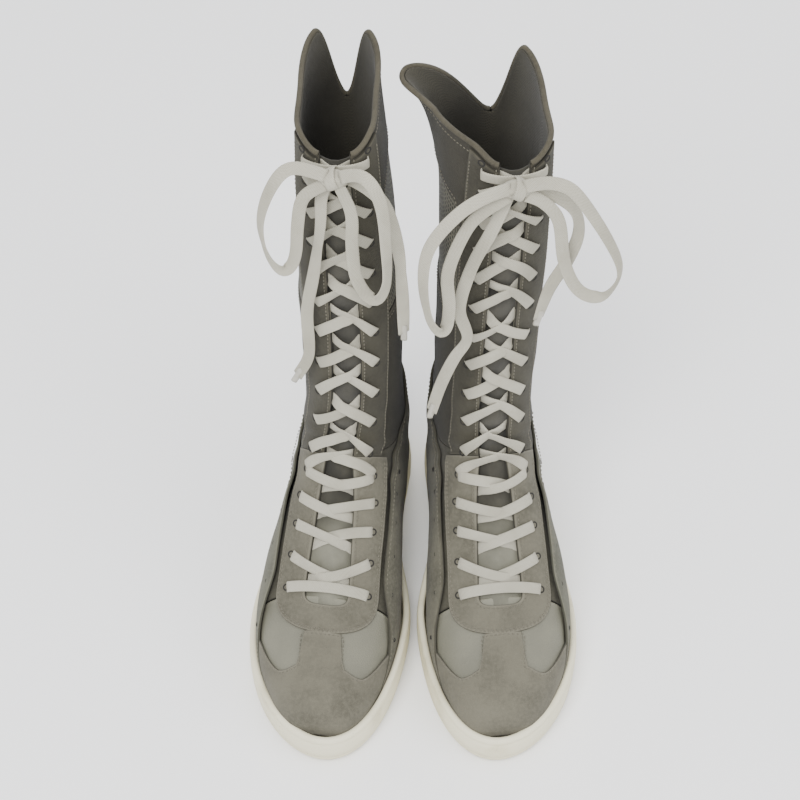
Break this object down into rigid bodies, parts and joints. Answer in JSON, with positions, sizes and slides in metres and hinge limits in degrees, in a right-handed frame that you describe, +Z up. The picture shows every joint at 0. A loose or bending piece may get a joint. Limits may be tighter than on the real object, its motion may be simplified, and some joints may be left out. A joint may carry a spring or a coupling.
{
  "type": "boxing boots",
  "caption": "Pair of tall lace-up boxing boots with cup soles, suede and mesh shafts, and flat laces tied in bows.",
  "frame": {"origin": "middle of the pair's footprint, on the ground, measured without the free laces", "axes": "+Z up, toes toward -Y, the boot for the left foot on +X"},
  "size_m": [0.2383, 0.2946, 0.4117],
  "materials": {
    "sole_rubber": "speckled cream",
    "foam": "plain",
    "lining_cloth": "woven",
    "smooth_leather": "smooth matt",
    "pale_suede": "napped",
    "grey_suede": "napped",
    "dark_suede": "napped",
    "mesh_cloth": "open weave",
    "stiffener": "board",
    "lace_cloth": "flat woven"
  },
  "bodies": {
    "right_foot_body": {"right_outsole": "sole_rubber", "right_cupsole": "sole_rubber", "right_midsole": "foam", "right_sockliner": "lining_cloth", "right_vamp": "smooth_leather", "right_toe_cap": "pale_suede", "right_apron": "pale_suede", "right_tongue_lower": "smooth_leather", "right_quarter_outer": "smooth_leather", "right_quarter_inner": "smooth_leather", "right_overlay_outer": "grey_suede", "right_overlay_inner": "grey_suede", "right_heel_counter": "stiffener", "right_foot_lace": "lace_cloth"},
    "left_foot_body": {"left_outsole": "sole_rubber", "left_cupsole": "sole_rubber", "left_midsole": "foam", "left_sockliner": "lining_cloth", "left_vamp": "smooth_leather", "left_toe_cap": "pale_suede", "left_apron": "pale_suede", "left_tongue_lower": "smooth_leather", "left_quarter_outer": "smooth_leather", "left_quarter_inner": "smooth_leather", "left_overlay_outer": "grey_suede", "left_overlay_inner": "grey_suede", "left_heel_counter": "stiffener", "left_foot_lace": "lace_cloth"},
    "right_shaft_body": {"right_calf_panel_outer": "grey_suede", "right_calf_panel_inner": "grey_suede", "right_mesh_panel_outer": "mesh_cloth", "right_mesh_panel_inner": "mesh_cloth", "right_collar_outer": "dark_suede", "right_collar_inner": "dark_suede", "right_facing_outer": "grey_suede", "right_facing_inner": "grey_suede", "right_back_strip": "dark_suede", "right_shaft_lining": "lining_cloth", "right_tongue_upper": "smooth_leather", "right_shaft_lace": "lace_cloth", "right_bow_loop_outer": "lace_cloth", "right_bow_loop_inner": "lace_cloth", "right_lace_end_outer": "lace_cloth", "right_lace_end_inner": "lace_cloth"},
    "left_shaft_body": {"left_calf_panel_outer": "grey_suede", "left_calf_panel_inner": "grey_suede", "left_mesh_panel_outer": "mesh_cloth", "left_mesh_panel_inner": "mesh_cloth", "left_collar_outer": "dark_suede", "left_collar_inner": "dark_suede", "left_facing_outer": "grey_suede", "left_facing_inner": "grey_suede", "left_back_strip": "dark_suede", "left_shaft_lining": "lining_cloth", "left_tongue_upper": "smooth_leather", "left_shaft_lace": "lace_cloth", "left_bow_loop_outer": "lace_cloth", "left_bow_loop_inner": "lace_cloth", "left_lace_end_outer": "lace_cloth", "left_lace_end_inner": "lace_cloth"}
  },
  "joints": [
    {"name": "lift_left_boot", "type": "slide", "parent": "right_foot_body", "child": "left_foot_body", "axis": [0, 0, 1], "range_m": [0, 0.25]},
    {"name": "right_ankle_flex", "type": "hinge", "parent": "right_foot_body", "child": "right_shaft_body", "pos_m": [-0.04096, 0.0708, 0.096], "axis": [0.9903, -0.1392, 0], "range_deg": [-5, 10]},
    {"name": "left_ankle_flex", "type": "hinge", "parent": "left_foot_body", "child": "left_shaft_body", "pos_m": [0.04795, 0.07122, 0.096], "axis": [0.9962, 0.0872, 0], "range_deg": [-5, 10]}
  ]
}
